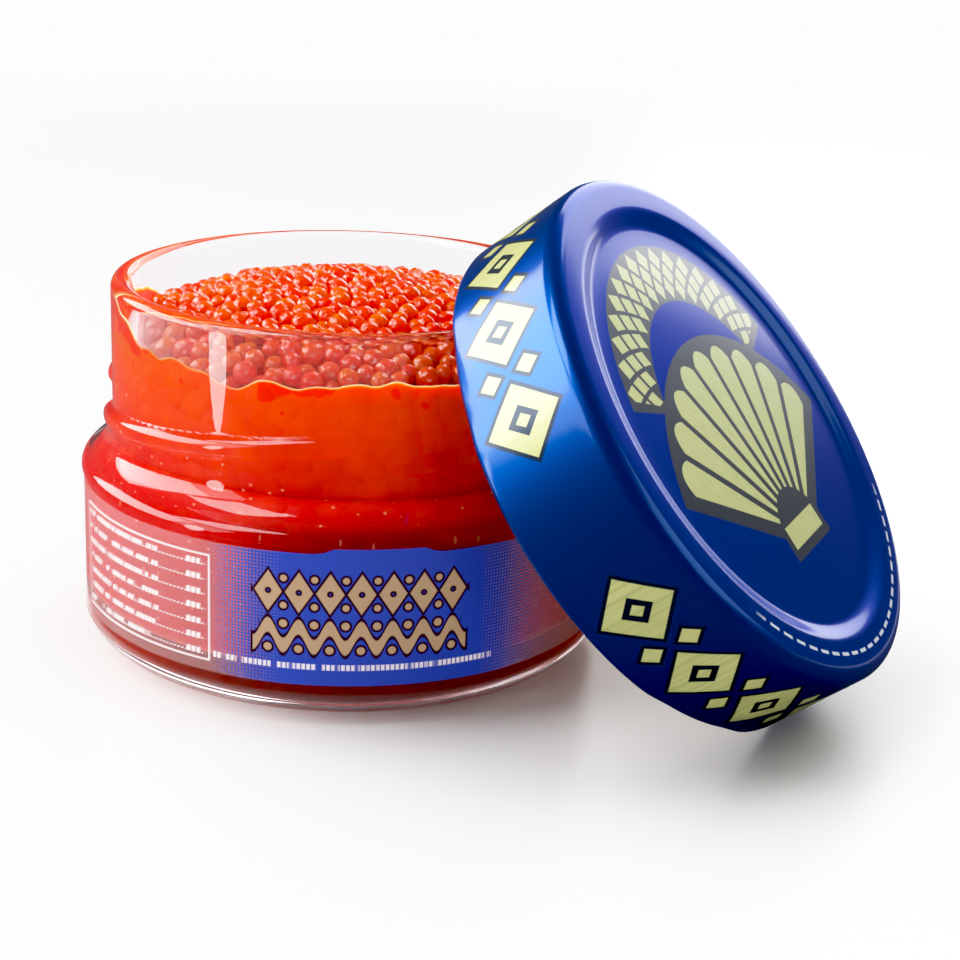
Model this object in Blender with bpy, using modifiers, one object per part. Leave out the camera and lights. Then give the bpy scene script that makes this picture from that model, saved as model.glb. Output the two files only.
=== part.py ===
"""Salmon roe in a low glass jar, with its tin lug cap leaning on the rim. Metres, +Z up."""

import math
import random

import bmesh
import bpy
from mathutils import Euler, Matrix, Vector, noise

MM = 0.001
CLEARANCE = 0.3 * MM
WELD = 0.001 * MM
SHARP_DEG = 40.0
ARC_STEPS = 4

# Jar, a turned glass shell; the radii and heights are taken from its axis and from the table
JAR_SEGMENTS = 44
JAR_HEIGHT = 48.3 * MM
RIM_OUTER_R = 31.05 * MM
RIM_INNER_R = 28.55 * MM
NECK_FILLET = 4.0 * MM
NECK_FILLET_STEPS = 3
SHOULDER_R = 35.2 * MM
SHOULDER_Z = 23.9 * MM
SHOULDER_EDGE = 0.8 * MM
SHOULDER_EDGE_STEPS = 2
SHOULDER_SLOPE_DEG = 25.0
PANEL_R = 34.65 * MM
PANEL_TOP_Z = 23.6 * MM
PANEL_BOTTOM_Z = 5.1 * MM
HEEL_R = 35.3 * MM
HEEL_RADIUS = 5.7 * MM
HEEL_START_DEG = -9.0
ROUND_EDGE_STEPS = 5
FOOT_INNER_R = 26.5 * MM
PUSH_UP_R = 24.5 * MM
PUSH_UP = 1.1 * MM
CAVITY_R = 31.8 * MM
CAVITY_FLOOR_Z = 5.5 * MM
CAVITY_HEEL_RADIUS = 5.0 * MM
CAVITY_SHOULDER_Z = 23.0 * MM
CAVITY_SHOULDER_HEIGHT = 4.0 * MM

# Thread ridges on the neck, each about a quarter turn that climbs to the right and thins out at its ends:
# where each starts, the turn it takes, the height it starts at and how far it climbs (degrees, mm)
RIDGE_RADIUS = 1.5 * MM
RIDGE_PATH_R = 30.75 * MM
RIDGES = [(-190.0, 108.5, 29.0, 6.2), (-81.5, 90.0, 31.5, 3.7), (8.5, 90.0, 31.5, 3.7), (98.5, 88.0, 31.5, 3.0)]
RIDGE_POINTS = 11
RIDGE_TAPER = 0.16
RIDGE_END = 0.35
RIDGE_ROUNDNESS = 2

# Label, a clear film round the body with a tab on its front upper edge
LABEL_SEGMENTS = 80
LABEL_R = 34.95 * MM
LABEL_THICKNESS = 0.2 * MM
LABEL_BOTTOM_Z = 5.4 * MM
LABEL_TOP_Z = 22.4 * MM
TAB_RISE = 0.85 * MM
TAB_CENTRE_DEG = -83.0
TAB_HALF_DEG = 10.5
TAB_SLOPE_DEG = 2.5

# Roe, a heap that fills the cavity, crowned a little above the level at the glass
ROE_SEGMENTS = 24
CROWN_RINGS = 4
HEAP_WALL_Z = 40.4 * MM
HEAP_RISE = 4.7 * MM
HEAP_BACK_SLOPE = 0.02
HEAP_WAVE = 0.5 * MM
HEAP_WAVE_LENGTH = 9.0 * MM
GRAIN_R_MIN = 1.3 * MM
GRAIN_R_MAX = 1.6 * MM
GRAIN_COUNT = 160
GRAIN_LIFT = 0.3
GRAIN_JITTER = 0.25 * MM
GRAIN_SEED = 7
GRAIN_SHARP_DEG = 35.0

# Cap, pressed tin: its local Z runs from the mouth to the top, its local X points down the slope
LID_SEGMENTS = 60
LID_R = 35.0 * MM
LID_HEIGHT = 16.6 * MM
LID_SHEET = 0.6 * MM
LID_CORNER_RADIUS = 2.0 * MM
LID_LAND_R = 30.4 * MM
LID_PANEL_R = 27.2 * MM
LID_PANEL_DROP = 0.8 * MM
CURL_R = 0.9 * MM
CURL_INNER_Z = 2.7 * MM
SEAL_INNER_R = 27.6 * MM
SEAL_OUTER_R = 32.6 * MM
SEAL_DEPTH = 0.8 * MM
LUG_COUNT = 4
LUG_FIRST_DEG = 50.6
LUG_HALF_DEG = 12.5
LUG_EDGE_DEG = 5.0
LUG_DENT = 0.65 * MM
LUG_REACH = 0.75 * MM
LUG_HEIGHT = 4.0 * MM

# The cap's lean: where its mouth's centre lies from the jar's axis, its heading and its tilt
LID_MOUTH_X = 36.93 * MM
LID_MOUTH_Y = -18.3 * MM
LID_HEADING_DEG = -27.9
LID_TILT_DEG = 51.48


def arc(centre_r, centre_z, radius_r, radius_z, start_deg, end_deg, steps):
    """Points of an elliptic arc in the outline's plane, both ends included."""
    points = []
    for i in range(steps + 1):
        angle = math.radians(start_deg + (end_deg - start_deg) * i / steps)
        points.append((centre_r + radius_r * math.cos(angle), centre_z + radius_z * math.sin(angle)))
    return points


def material(name, colour, roughness, metallic=0.0, transmission=0.0, ior=1.5):
    """A plain Principled material."""
    made = bpy.data.materials.new(name)
    made.use_nodes = True
    shader = made.node_tree.nodes["Principled BSDF"]
    shader.inputs["Base Color"].default_value = (*colour, 1.0)
    shader.inputs["Roughness"].default_value = roughness
    shader.inputs["Metallic"].default_value = metallic
    shader.inputs["Transmission Weight"].default_value = transmission
    shader.inputs["IOR"].default_value = ior
    made.diffuse_color = (*colour, 1.0)
    return made


def evaluated_mesh(obj, name):
    """A plain mesh of the object with its modifiers applied and its doubles welded."""
    graph = bpy.context.evaluated_depsgraph_get()
    mesh = bpy.data.meshes.new_from_object(obj.evaluated_get(graph))
    mesh.name = name
    shape = bmesh.new()
    shape.from_mesh(mesh)
    bmesh.ops.remove_doubles(shape, verts=shape.verts, dist=WELD)
    shape.to_mesh(mesh)
    shape.free()
    return mesh


def add_object(name, mesh, collection):
    """An object for a mesh, in a collection."""
    obj = bpy.data.objects.new(name, mesh)
    collection.objects.link(obj)
    return obj


def turned(name, outline, segments, collection):
    """A solid turned about Z from an outline that starts and ends on the axis."""
    profile = bpy.data.meshes.new(name + "_outline")
    edges = [(i, i + 1) for i in range(len(outline) - 1)]
    profile.from_pydata([(r, 0.0, z) for r, z in outline], edges, [])
    guide = add_object(name + "_outline", profile, collection)
    screw = guide.modifiers.new("turn", "SCREW")
    screw.steps = segments
    screw.render_steps = segments
    screw.use_merge_vertices = True
    screw.merge_threshold = WELD
    mesh = evaluated_mesh(guide, name)
    bpy.data.objects.remove(guide)
    return add_object(name, mesh, collection)


def shade(obj, sharp_deg, finish):
    """Smooth shading that keeps the crisp edges, and the object's material."""
    obj.data.shade_smooth()
    obj.data.set_sharp_from_angle(angle=math.radians(sharp_deg))
    obj.data.materials.clear()
    obj.data.materials.append(finish)


def keep_largest_body(mesh):
    """Drop loose scraps and the walls of sealed hollows, which fills them."""
    shape = bmesh.new()
    shape.from_mesh(mesh)
    left = set(shape.verts)
    bodies = []
    while left:
        body = [left.pop()]
        for vert in body:
            for edge in vert.link_edges:
                other = edge.other_vert(vert)
                if other in left:
                    left.remove(other)
                    body.append(other)
        bodies.append(body)
    bodies.sort(key=len)
    scraps = [vert for body in bodies[:-1] for vert in body]
    bmesh.ops.delete(shape, geom=scraps, context="VERTS")
    shape.to_mesh(mesh)
    shape.free()


def join_all(obj, collection, solver):
    """Fuse every object of a collection to the object, then remove them."""
    union = obj.modifiers.new("fuse", "BOOLEAN")
    union.operation = "UNION"
    union.operand_type = "COLLECTION"
    union.collection = collection
    union.solver = solver
    fused = evaluated_mesh(obj, obj.name)
    obj.modifiers.clear()
    obj.data = fused
    for piece in list(collection.objects):
        bpy.data.objects.remove(piece)
    bpy.data.collections.remove(collection)
    keep_largest_body(obj.data)


def cavity_side(gap):
    """The glass cavity's wall from the floor's edge up to the neck, drawn in by a gap."""
    heel_r = CAVITY_R - CAVITY_HEEL_RADIUS
    heel_z = CAVITY_FLOOR_Z + CAVITY_HEEL_RADIUS
    heel = CAVITY_HEEL_RADIUS - gap
    neck_r = RIM_INNER_R - gap
    points = arc(heel_r, heel_z, heel, heel, -90, 0, ARC_STEPS)
    shoulder_r = CAVITY_R - RIM_INNER_R
    points += arc(neck_r, CAVITY_SHOULDER_Z, shoulder_r, CAVITY_SHOULDER_HEIGHT - gap, 0, 90, ARC_STEPS)
    return points


def jar_outline():
    """Inner floor, inner wall, rounded rim, neck, shoulder, label panel, heel and pushed-up base."""
    rim_tube = (RIM_OUTER_R - RIM_INNER_R) / 2
    rim_z = JAR_HEIGHT - rim_tube
    slope = math.radians(SHOULDER_SLOPE_DEG)
    edge_r = SHOULDER_R - SHOULDER_EDGE
    fillet_r = RIM_OUTER_R + NECK_FILLET
    slope_run = edge_r + SHOULDER_EDGE * math.sin(slope) - fillet_r
    slope_foot_z = SHOULDER_Z + SHOULDER_EDGE * math.cos(slope)
    neck_foot_z = slope_foot_z + slope_run * math.tan(slope) + NECK_FILLET / math.cos(slope)
    heel_centre_r = HEEL_R - HEEL_RADIUS
    points = [(0.0, CAVITY_FLOOR_Z + PUSH_UP / 2)]
    points += cavity_side(0.0)
    points += arc(RIM_INNER_R + rim_tube, rim_z, rim_tube, rim_tube, 180, 0, ROUND_EDGE_STEPS)
    fillet_end = 270 - SHOULDER_SLOPE_DEG
    points += arc(fillet_r, neck_foot_z, NECK_FILLET, NECK_FILLET, 180, fillet_end, NECK_FILLET_STEPS)
    edge_start = 90 - SHOULDER_SLOPE_DEG
    points += arc(edge_r, SHOULDER_Z, SHOULDER_EDGE, SHOULDER_EDGE, edge_start, 0, SHOULDER_EDGE_STEPS)
    points.append((PANEL_R, PANEL_TOP_Z))
    points.append((PANEL_R, PANEL_BOTTOM_Z))
    points += arc(heel_centre_r, HEEL_RADIUS, HEEL_RADIUS, HEEL_RADIUS, HEEL_START_DEG, -90, ROUND_EDGE_STEPS)
    points.append((FOOT_INNER_R, 0.0))
    points.append((PUSH_UP_R, PUSH_UP))
    points.append((0.0, PUSH_UP))
    return points


def thread_ridge(start_deg, span_deg, low_mm, rise_mm, collection):
    """One ridge: a round bead on a rising path, thin at both ends, sunk into the neck."""
    path = bpy.data.curves.new("ridge_path", "CURVE")
    path.dimensions = "3D"
    path.bevel_depth = RIDGE_RADIUS
    path.bevel_resolution = RIDGE_ROUNDNESS
    path.use_fill_caps = True
    spline = path.splines.new("POLY")
    spline.points.add(RIDGE_POINTS - 1)
    for i, point in enumerate(spline.points):
        share = i / (RIDGE_POINTS - 1)
        angle = math.radians(start_deg + share * span_deg)
        z = (low_mm + share * rise_mm) * MM
        point.co = (RIDGE_PATH_R * math.cos(angle), RIDGE_PATH_R * math.sin(angle), z, 1.0)
        from_end = min(share, 1 - share)
        point.radius = max(RIDGE_END, math.sqrt(min(1.0, from_end / RIDGE_TAPER)))
    guide = bpy.data.objects.new("ridge_path", path)
    collection.objects.link(guide)
    mesh = evaluated_mesh(guide, "ridge")
    bpy.data.objects.remove(guide)
    return add_object("ridge", mesh, collection)


def build_jar(collection, scene_root):
    """The glass jar with its thread ridges."""
    jar = turned("jar", jar_outline(), JAR_SEGMENTS, collection)
    ridges = bpy.data.collections.new("ridges")
    scene_root.children.link(ridges)
    for ridge in RIDGES:
        thread_ridge(*ridge, ridges)
    join_all(jar, ridges, "EXACT")
    shade(jar, SHARP_DEG, material("jar_glass", (0.93, 0.96, 0.95), 0.02, transmission=1.0, ior=1.5))
    return jar


def tab_height(angle_deg):
    """How far the label's upper edge stands above its level at an angle round the jar."""
    away = abs((angle_deg - TAB_CENTRE_DEG + 180) % 360 - 180)
    share = (TAB_HALF_DEG + TAB_SLOPE_DEG / 2 - away) / TAB_SLOPE_DEG
    return TAB_RISE * min(1.0, max(0.0, share))


def build_label(collection):
    """The printed film: a strip wrapped round the label panel, given its thickness outwards."""
    shape = bmesh.new()
    bmesh.ops.create_grid(shape, x_segments=LABEL_SEGMENTS, y_segments=1, size=0.5)
    for vert in shape.verts:
        angle_deg = vert.co.x * 360
        top = vert.co.y > 0
        angle = math.radians(angle_deg)
        z = LABEL_TOP_Z + tab_height(angle_deg) if top else LABEL_BOTTOM_Z
        vert.co = (LABEL_R * math.cos(angle), LABEL_R * math.sin(angle), z)
    bmesh.ops.remove_doubles(shape, verts=shape.verts, dist=WELD)
    mesh = bpy.data.meshes.new("label")
    shape.to_mesh(mesh)
    shape.free()
    label = add_object("label", mesh, collection)
    wall = label.modifiers.new("film", "SOLIDIFY")
    wall.thickness = LABEL_THICKNESS
    wall.offset = 1.0
    shade(label, SHARP_DEG, material("label_film", (0.05, 0.13, 0.55), 0.3))
    return label


def heap_height(x, y):
    """The heap's core surface above a point: a low crown, a little higher at the back, in soft waves."""
    reach = min(1.0, math.hypot(x, y) / (RIM_INNER_R - CLEARANCE))
    wave = noise.noise(Vector((x, y, 0.0)) / HEAP_WAVE_LENGTH)
    return HEAP_WALL_Z + HEAP_RISE * (1 - reach ** 2) + HEAP_BACK_SLOPE * y + HEAP_WAVE * wave


def roe_outline():
    """The heap's crown, then down the cavity's wall to the floor, clear of the glass."""
    neck_r = RIM_INNER_R - CLEARANCE
    crown = [(neck_r * i / CROWN_RINGS, HEAP_WALL_Z) for i in range(CROWN_RINGS + 1)]
    side = cavity_side(CLEARANCE)
    side.reverse()
    floor = [(0.0, CAVITY_FLOOR_Z + PUSH_UP / 2 + CLEARANCE)]
    return crown + side + floor


def scatter_grains(collection):
    """Round grains of uneven size, spread evenly over the crown on a jittered spiral, clear of the glass."""
    chance = random.Random(GRAIN_SEED)
    golden_angle = math.pi * (3 - math.sqrt(5))
    reach = RIM_INNER_R - CLEARANCE - GRAIN_R_MAX - math.hypot(GRAIN_JITTER, GRAIN_JITTER)
    for i in range(GRAIN_COUNT):
        radius = chance.uniform(GRAIN_R_MIN, GRAIN_R_MAX)
        from_axis = reach * math.sqrt((i + 0.5) / GRAIN_COUNT)
        x = from_axis * math.cos(i * golden_angle) + chance.uniform(-GRAIN_JITTER, GRAIN_JITTER)
        y = from_axis * math.sin(i * golden_angle) + chance.uniform(-GRAIN_JITTER, GRAIN_JITTER)
        place = Vector((x, y, heap_height(x, y) + GRAIN_LIFT * radius))
        spin = Euler([chance.uniform(0, math.pi) for _ in range(3)])
        shape = bmesh.new()
        bmesh.ops.create_icosphere(shape, subdivisions=1, radius=radius)
        shape.transform(Matrix.Translation(place) @ spin.to_matrix().to_4x4())
        mesh = bpy.data.meshes.new("grain")
        shape.to_mesh(mesh)
        shape.free()
        add_object("grain", mesh, collection)


def build_roe(collection, scene_root):
    """The roe: a core that fills the glass, with the grains of its crown fused on."""
    roe = turned("roe", roe_outline(), ROE_SEGMENTS, collection)
    for vert in roe.data.vertices:
        if vert.co.z > HEAP_WALL_Z - WELD:
            vert.co.z = heap_height(vert.co.x, vert.co.y)
    grains = bpy.data.collections.new("grains")
    scene_root.children.link(grains)
    scatter_grains(grains)
    join_all(roe, grains, "MANIFOLD")
    shade(roe, GRAIN_SHARP_DEG, material("roe_grain", (0.9, 0.16, 0.01), 0.15, ior=1.38))
    return roe


def lid_outline():
    """The cap's top, corner, skirt, rolled-in edge, and the inside with its ring of sealing compound."""
    corner = LID_CORNER_RADIUS
    inner_r = LID_R - LID_SHEET
    inner_top_z = LID_HEIGHT - LID_SHEET
    panel_z = LID_HEIGHT - LID_PANEL_DROP
    seal_z = panel_z - LID_SHEET - SEAL_DEPTH / 2
    step_mid_r = (LID_LAND_R + LID_PANEL_R) / 2
    step_mid_z = LID_HEIGHT - LID_PANEL_DROP / 2
    points = [(0.0, panel_z), (LID_PANEL_R, panel_z), (step_mid_r, step_mid_z), (LID_LAND_R, LID_HEIGHT)]
    points += arc(LID_R - corner, LID_HEIGHT - corner, corner, corner, 90, 0, ARC_STEPS)
    points += arc(LID_R - CURL_R, CURL_R, CURL_R, CURL_R, 0, -180, ARC_STEPS)
    points.append((inner_r, CURL_INNER_Z))
    inner_corner = corner - LID_SHEET
    points += arc(LID_R - corner, LID_HEIGHT - corner, inner_corner, inner_corner, 0, 90, ARC_STEPS // 2)
    points.append((SEAL_OUTER_R - LID_SHEET, inner_top_z))
    points += [(SEAL_OUTER_R - SEAL_DEPTH, seal_z), (SEAL_INNER_R, seal_z)]
    points += [(SEAL_INNER_R - SEAL_DEPTH, panel_z - LID_SHEET), (0.0, panel_z - LID_SHEET)]
    return points


def lug_share(angle_deg):
    """1 within a lug, 0 away from it, with short slopes between."""
    pitch = 360 / LUG_COUNT
    away = abs((angle_deg - LUG_FIRST_DEG + pitch / 2) % pitch - pitch / 2)
    return min(1.0, max(0.0, (LUG_HALF_DEG - away) / LUG_EDGE_DEG + 0.5))


def build_lid(collection):
    """The cap, with its rolled edge pressed in at the lugs, leaned on the jar by its parent."""
    lid = turned("lid", lid_outline(), LID_SEGMENTS, collection)
    for vert in lid.data.vertices:
        radius = math.hypot(vert.co.x, vert.co.y)
        if radius < LID_R / 2 or vert.co.z > LUG_HEIGHT:
            continue
        share = lug_share(math.degrees(math.atan2(vert.co.y, vert.co.x)))
        inside = radius < LID_R - CURL_R
        press = LUG_DENT + LUG_REACH if inside and vert.co.z < 2 * CURL_R else LUG_DENT
        scale = 1 - share * press * (1 - vert.co.z / LUG_HEIGHT) / radius
        vert.co.x *= scale
        vert.co.y *= scale
    shade(lid, SHARP_DEG, material("lid_lacquer", (0.01, 0.05, 0.42), 0.25, metallic=0.4))
    tilt = math.radians(LID_TILT_DEG)
    mouth_z = CURL_R + (LID_R - CURL_R) * math.sin(tilt) - CURL_R * math.cos(tilt)
    lean = bpy.data.objects.new("lid_lean", None)
    collection.objects.link(lean)
    lean.location = (LID_MOUTH_X, LID_MOUTH_Y, mouth_z)
    lean.rotation_euler = (0.0, tilt, math.radians(LID_HEADING_DEG))
    lid.parent = lean
    return lean, lid


def footprint_centre(pieces):
    """The middle, seen from above, of the box round all pieces."""
    bpy.context.view_layer.update()
    graph = bpy.context.evaluated_depsgraph_get()
    corners = []
    for piece in pieces:
        shape = piece.evaluated_get(graph)
        corners += [piece.matrix_world @ vert.co for vert in shape.data.vertices]
    middle_x = (min(c.x for c in corners) + max(c.x for c in corners)) / 2
    middle_y = (min(c.y for c in corners) + max(c.y for c in corners)) / 2
    return middle_x, middle_y


def main():
    for obj in list(bpy.data.objects):
        bpy.data.objects.remove(obj)
    scene_root = bpy.context.scene.collection
    collection = bpy.data.collections.new("salmon_roe_jar")
    scene_root.children.link(collection)
    jar = build_jar(collection, scene_root)
    roe = build_roe(collection, scene_root)
    label = build_label(collection)
    lean, lid = build_lid(collection)
    middle_x, middle_y = footprint_centre([jar, roe, label, lid])
    stand = bpy.data.objects.new("stand", None)
    collection.objects.link(stand)
    stand.location = (-middle_x, -middle_y, 0.0)
    for piece in (jar, roe, label, lean):
        piece.parent = stand


main()
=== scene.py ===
import math
import random

import bmesh
import bpy
import numpy as np
from mathutils import Euler, Matrix, Vector, noise


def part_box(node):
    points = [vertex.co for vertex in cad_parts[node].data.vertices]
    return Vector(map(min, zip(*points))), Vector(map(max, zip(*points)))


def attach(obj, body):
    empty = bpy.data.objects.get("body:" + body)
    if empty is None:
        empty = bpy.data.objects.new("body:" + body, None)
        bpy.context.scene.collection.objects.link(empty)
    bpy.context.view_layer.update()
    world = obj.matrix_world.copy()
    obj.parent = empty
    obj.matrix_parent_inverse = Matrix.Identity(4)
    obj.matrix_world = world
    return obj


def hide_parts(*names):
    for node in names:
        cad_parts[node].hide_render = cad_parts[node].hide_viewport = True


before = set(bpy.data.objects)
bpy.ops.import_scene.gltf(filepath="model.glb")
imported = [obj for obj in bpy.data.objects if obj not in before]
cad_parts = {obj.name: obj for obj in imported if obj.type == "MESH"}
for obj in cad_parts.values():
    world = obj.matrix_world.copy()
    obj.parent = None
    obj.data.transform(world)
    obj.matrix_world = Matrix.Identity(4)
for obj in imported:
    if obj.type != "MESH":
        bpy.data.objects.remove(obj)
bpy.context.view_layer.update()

# Glass jar: thick clear glass pressed in a mould, with a fire-polished rim, four thread ridges for the
# cap's lugs, a rounded shoulder, a hollow panel for the label, a round heel and a pushed-up foot. It
# stands on its foot ring and carries everything else.
MM = 0.001
WELD = 0.001 * MM
CRISP_DEG = 40.0
JAR_STEPS = 256
ARC_STEPS = 14
FILLET_STEPS = 24
EDGE_STEPS = 16
LIP_STEPS = 6
NECK_ROW = 0.16 * MM
RIM_OUTER_R = 31.05 * MM
RIM_INNER_R = 28.55 * MM
NECK_FILLET = 4.0 * MM
SHOULDER_R = 35.2 * MM
SHOULDER_Z = 23.26 * MM
SHOULDER_EDGE = 1.8 * MM
SHOULDER_SLOPE_DEG = 25
LIP_RADIUS = 0.1 * MM
PANEL_R = 34.9 * MM
PANEL_TOP_Z = 23.16 * MM
PANEL_BOTTOM_Z = 5.1 * MM
HEEL_R = 35.3 * MM
HEEL_RADIUS = 5.7 * MM
HEEL_START_DEG = -15
FOOT_INNER_R = 26.5 * MM
PUSH_UP_R = 24.5 * MM
PUSH_UP = 1.1 * MM
CORNER_CUT = 0.3 * MM
CAVITY_R = 31.8 * MM
CAVITY_FLOOR_Z = 5.5 * MM
CAVITY_HEEL_RADIUS = 5.0 * MM
CAVITY_SHOULDER_Z = 23.0 * MM
CAVITY_SHOULDER_HEIGHT = 4.0 * MM
RIDGE_RADIUS = 1.5 * MM
RIDGE_PATH_R = 30.75 * MM
RIDGE_TAPER_DEG = 14.0
RIDGE_FILLET = 0.35 * MM
RIDGE_TOP_Z = 38.0 * MM
RIDGES = [
    (-190.0, 108.5, 29.0, 6.2),
    (-81.5, 90.0, 31.5, 3.7),
    (8.5, 90.0, 31.5, 3.7),
    (98.5, 88.0, 31.5, 3.0),
]

jar_low, jar_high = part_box("jar")
JAR_HEIGHT = jar_high[2]
jar_axis = Vector(((jar_low[0] + jar_high[0]) / 2, (jar_low[1] + jar_high[1]) / 2, 0.0))


def arc(centre_r, centre_z, radius_r, radius_z, start_deg, end_deg, steps=ARC_STEPS):
    """Points of an elliptic arc in an outline's plane, both ends included."""
    points = []
    for i in range(steps + 1):
        angle = math.radians(start_deg + (end_deg - start_deg) * i / steps)
        points.append((centre_r + radius_r * math.cos(angle), centre_z + radius_z * math.sin(angle)))
    return points


def turned(outline, steps):
    """An outline of radius and height, spun about Z; one that ends on the axis closes there."""
    shape = bmesh.new()
    verts = [shape.verts.new((r, 0.0, z)) for r, z in outline]
    edges = [shape.edges.new(pair) for pair in zip(verts, verts[1:])]
    bmesh.ops.spin(shape, geom=verts + edges, cent=(0, 0, 0), axis=(0, 0, 1), angle=math.tau,
                   steps=steps, use_merge=True)
    bmesh.ops.remove_doubles(shape, verts=shape.verts, dist=WELD)
    bmesh.ops.recalc_face_normals(shape, faces=shape.faces)
    return shape


def piece(name, shape, placed, slot, *finishes, replaced=()):
    """The finished object: its mesh put in place, smooth with crisp edges, riding on the one body."""
    shape.transform(placed)
    mesh = bpy.data.meshes.new(name)
    shape.to_mesh(mesh)
    shape.free()
    mesh.shade_smooth()
    mesh.set_sharp_from_angle(angle=math.radians(CRISP_DEG))
    for made in finishes:
        mesh.materials.append(made)
    obj = bpy.data.objects.new(name, mesh)
    bpy.context.scene.collection.objects.link(obj)
    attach(obj, "root")
    if replaced:
        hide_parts(*replaced)
    return obj


def rounded(start, *corners_and_end):
    """The corners and the end of a line of straight steps, each corner cut by a short chamfer."""
    line = [Vector(point) for point in (start, *corners_and_end)]
    points = []
    for before, corner, after in zip(line, line[1:], line[2:]):
        points.append(tuple(corner + (before - corner).normalized() * CORNER_CUT))
        points.append(tuple(corner + (after - corner).normalized() * CORNER_CUT))
    return points + [tuple(line[-1])]


def cavity_side(bite):
    """The glass cavity's wall from the floor's edge up to the neck, moved out into the glass by a bite."""
    heel = CAVITY_HEEL_RADIUS + bite
    heel_r = CAVITY_R - CAVITY_HEEL_RADIUS
    points = arc(heel_r, CAVITY_FLOOR_Z + CAVITY_HEEL_RADIUS, heel, heel, -90, 0)
    shoulder = (CAVITY_R - RIM_INNER_R, CAVITY_SHOULDER_HEIGHT + bite)
    points += arc(RIM_INNER_R + bite, CAVITY_SHOULDER_Z, *shoulder, 0, 90)
    return points


def jar_outline():
    """Inner floor and wall, rim, neck in fine rows, shoulder, lip, label panel, heel and foot."""
    rim_tube = (RIM_OUTER_R - RIM_INNER_R) / 2
    slope = math.radians(SHOULDER_SLOPE_DEG)
    edge_r = SHOULDER_R - SHOULDER_EDGE
    fillet_r = RIM_OUTER_R + NECK_FILLET
    slope_run = edge_r + SHOULDER_EDGE * math.sin(slope) - fillet_r
    slope_foot_z = SHOULDER_Z + SHOULDER_EDGE * math.cos(slope)
    neck_foot_z = slope_foot_z + slope_run * math.tan(slope) + NECK_FILLET / math.cos(slope)
    rows = round((RIDGE_TOP_Z - neck_foot_z) / NECK_ROW)
    points = [(0.0, CAVITY_FLOOR_Z + PUSH_UP / 2)]
    points += cavity_side(0.0)
    points += arc(RIM_INNER_R + rim_tube, JAR_HEIGHT - rim_tube, rim_tube, rim_tube, 180, 0)
    points += [(RIM_OUTER_R, RIDGE_TOP_Z + (neck_foot_z - RIDGE_TOP_Z) * i / rows) for i in range(rows)]
    points += arc(fillet_r, neck_foot_z, NECK_FILLET, NECK_FILLET, 180, 270 - SHOULDER_SLOPE_DEG,
                  FILLET_STEPS)
    points += arc(edge_r, SHOULDER_Z, SHOULDER_EDGE, SHOULDER_EDGE, 90 - SHOULDER_SLOPE_DEG, 0, EDGE_STEPS)
    points += arc(SHOULDER_R - LIP_RADIUS, SHOULDER_Z, LIP_RADIUS, LIP_RADIUS, 0, -90, LIP_STEPS)[1:]
    points.append((PANEL_R, PANEL_TOP_Z))
    points.append((PANEL_R, PANEL_BOTTOM_Z))
    points += arc(HEEL_R - HEEL_RADIUS, HEEL_RADIUS, HEEL_RADIUS, HEEL_RADIUS, HEEL_START_DEG, -90)
    foot_corners = [(FOOT_INNER_R, 0.0), (PUSH_UP_R, PUSH_UP)]
    points += rounded((HEEL_R - HEEL_RADIUS, 0.0), *foot_corners, (0.0, PUSH_UP))
    return points


def ridge_radius(angle_deg, z):
    """How far the nearest thread ridge reaches from the jar's axis at an angle and a height.

    Each ridge has its start and span in degrees, and its lowest height and its rise in millimetres."""
    reach = 0.0
    for start_deg, span_deg, low_mm, rise_mm in RIDGES:
        past_deg = (angle_deg - start_deg) % 360
        if past_deg > span_deg:
            continue
        bead = RIDGE_RADIUS * math.sqrt(min(1.0, min(past_deg, span_deg - past_deg) / RIDGE_TAPER_DEG))
        away = abs(z - (low_mm + rise_mm * past_deg / span_deg) * MM)
        if away < bead:
            reach = max(reach, RIDGE_PATH_R + math.sqrt(bead ** 2 - away ** 2))
        else:
            reach = max(reach, RIDGE_PATH_R - (away - bead))
    return reach


def soft_maximum(a, b, blend):
    """The larger of two lengths, rounded over where they are nearly equal."""
    share = min(1.0, max(0.0, 0.5 + (b - a) / (2 * blend)))
    return a + (b - a) * share + blend * share * (1 - share)


jar_shape = turned(jar_outline(), JAR_STEPS)
for vert in jar_shape.verts:
    radius = math.hypot(vert.co.x, vert.co.y)
    if radius > RIM_OUTER_R - WELD and SHOULDER_Z + SHOULDER_EDGE < vert.co.z < RIDGE_TOP_Z:
        angle_deg = math.degrees(math.atan2(vert.co.y, vert.co.x))
        wanted = soft_maximum(radius, ridge_radius(angle_deg, vert.co.z), RIDGE_FILLET)
        vert.co.x *= wanted / radius
        vert.co.y *= wanted / radius


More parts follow.
